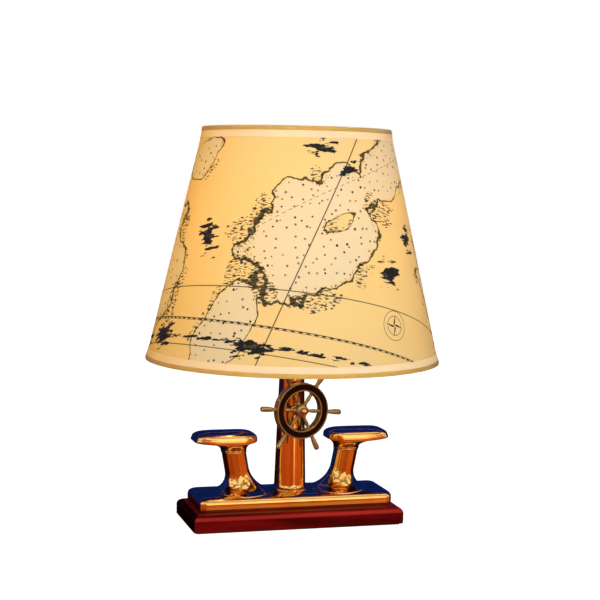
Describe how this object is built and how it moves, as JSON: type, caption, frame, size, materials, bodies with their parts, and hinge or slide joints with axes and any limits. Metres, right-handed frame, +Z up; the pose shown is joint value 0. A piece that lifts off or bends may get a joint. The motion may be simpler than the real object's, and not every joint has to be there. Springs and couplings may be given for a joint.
{
  "type": "table lamp",
  "caption": "Ship's table lamp with a cast brass double bollard, a turned column, a spinning steering wheel and a tapered chart-paper shade.",
  "frame": {"origin": "on the column's axis at the underside of the felt", "axes": "+Z up along the column; -Y is the front, where the steering wheel is; +X is to the right as seen from the front, along the bollard"},
  "size_m": [0.2518, 0.2518, 0.3373],
  "materials": {
    "felt": "matt felt",
    "mahogany": "stained and lacquered",
    "steel": "plain",
    "black_plastic": "glossy",
    "ceramic": "glazed",
    "cast_brass": "cast, polished",
    "turned_brass": "turned, polished",
    "plain_brass": "unpolished",
    "dark_inlay": "dark brown enamel",
    "bulb_glass": "clear",
    "stem_glass": "clear",
    "filament": "bright wire",
    "cap_metal": "rolled",
    "parchment": "printed chart paper on board",
    "frame_wire": "white lacquer",
    "tape": "cream cotton tape",
    "gilt": "gold braid"
  },
  "bodies": {
    "base": {"felt_pad": "felt", "wood_plinth": "mahogany", "plinth_screws": "steel", "cord_gland": "black_plastic", "bollard_base": "cast_brass", "left_bollard_head": "cast_brass", "right_bollard_head": "cast_brass", "head_studs": "steel", "column": "turned_brass", "column_cap": "turned_brass", "tie_rod": "steel", "rod_nut": "plain_brass", "rod_washer": "steel", "wheel_boss": "turned_brass", "wheel_pivot": "steel", "pivot_nut": "plain_brass", "wheel_washer": "steel", "wheel_cap_nut": "turned_brass", "lampholder_cap": "black_plastic", "lampholder_insert": "ceramic", "contact_springs": "plain_brass", "thread_sleeve": "plain_brass", "lampholder_skirt": "black_plastic", "lower_shade_ring": "black_plastic", "upper_shade_ring": "black_plastic", "shade_shell": "parchment", "shade_carrier": "frame_wire", "shade_bottom_wire": "frame_wire", "shade_top_wire": "frame_wire", "shade_top_tape": "tape", "shade_bottom_tape": "tape", "shade_top_gilt": "gilt", "shade_bottom_gilt": "gilt"},
    "wheel": {"wheel_hub": "turned_brass", "wheel_spokes": "turned_brass", "wheel_rim": "turned_brass", "wheel_inlays": "dark_inlay"},
    "bulb_carrier": {"bulb_tip": "black_plastic"},
    "bulb": {"bulb_glass": "bulb_glass", "bulb_stem": "stem_glass", "bulb_filament": "filament", "bulb_cap": "cap_metal"}
  },
  "joints": [
    {"name": "wheel_spin", "type": "hinge", "parent": "base", "child": "wheel", "pos_m": [0.00335, -0.01921, 0.0986], "axis": [0.1719, -0.9851, 0], "continuous": true},
    {"name": "bulb_lift", "type": "slide", "parent": "base", "child": "bulb_carrier", "axis": [0, 0, 1], "range_m": [0, 0.0182]},
    {"name": "bulb_turn", "type": "hinge", "parent": "bulb_carrier", "child": "bulb", "pos_m": [0, 0, 0.185], "axis": [0, 0, 1], "range_deg": [0, 1800]}
  ],
  "couplings": [
    {"joint": "bulb_lift", "follows": "bulb_turn", "m_per_rad": 0.00057757}
  ]
}
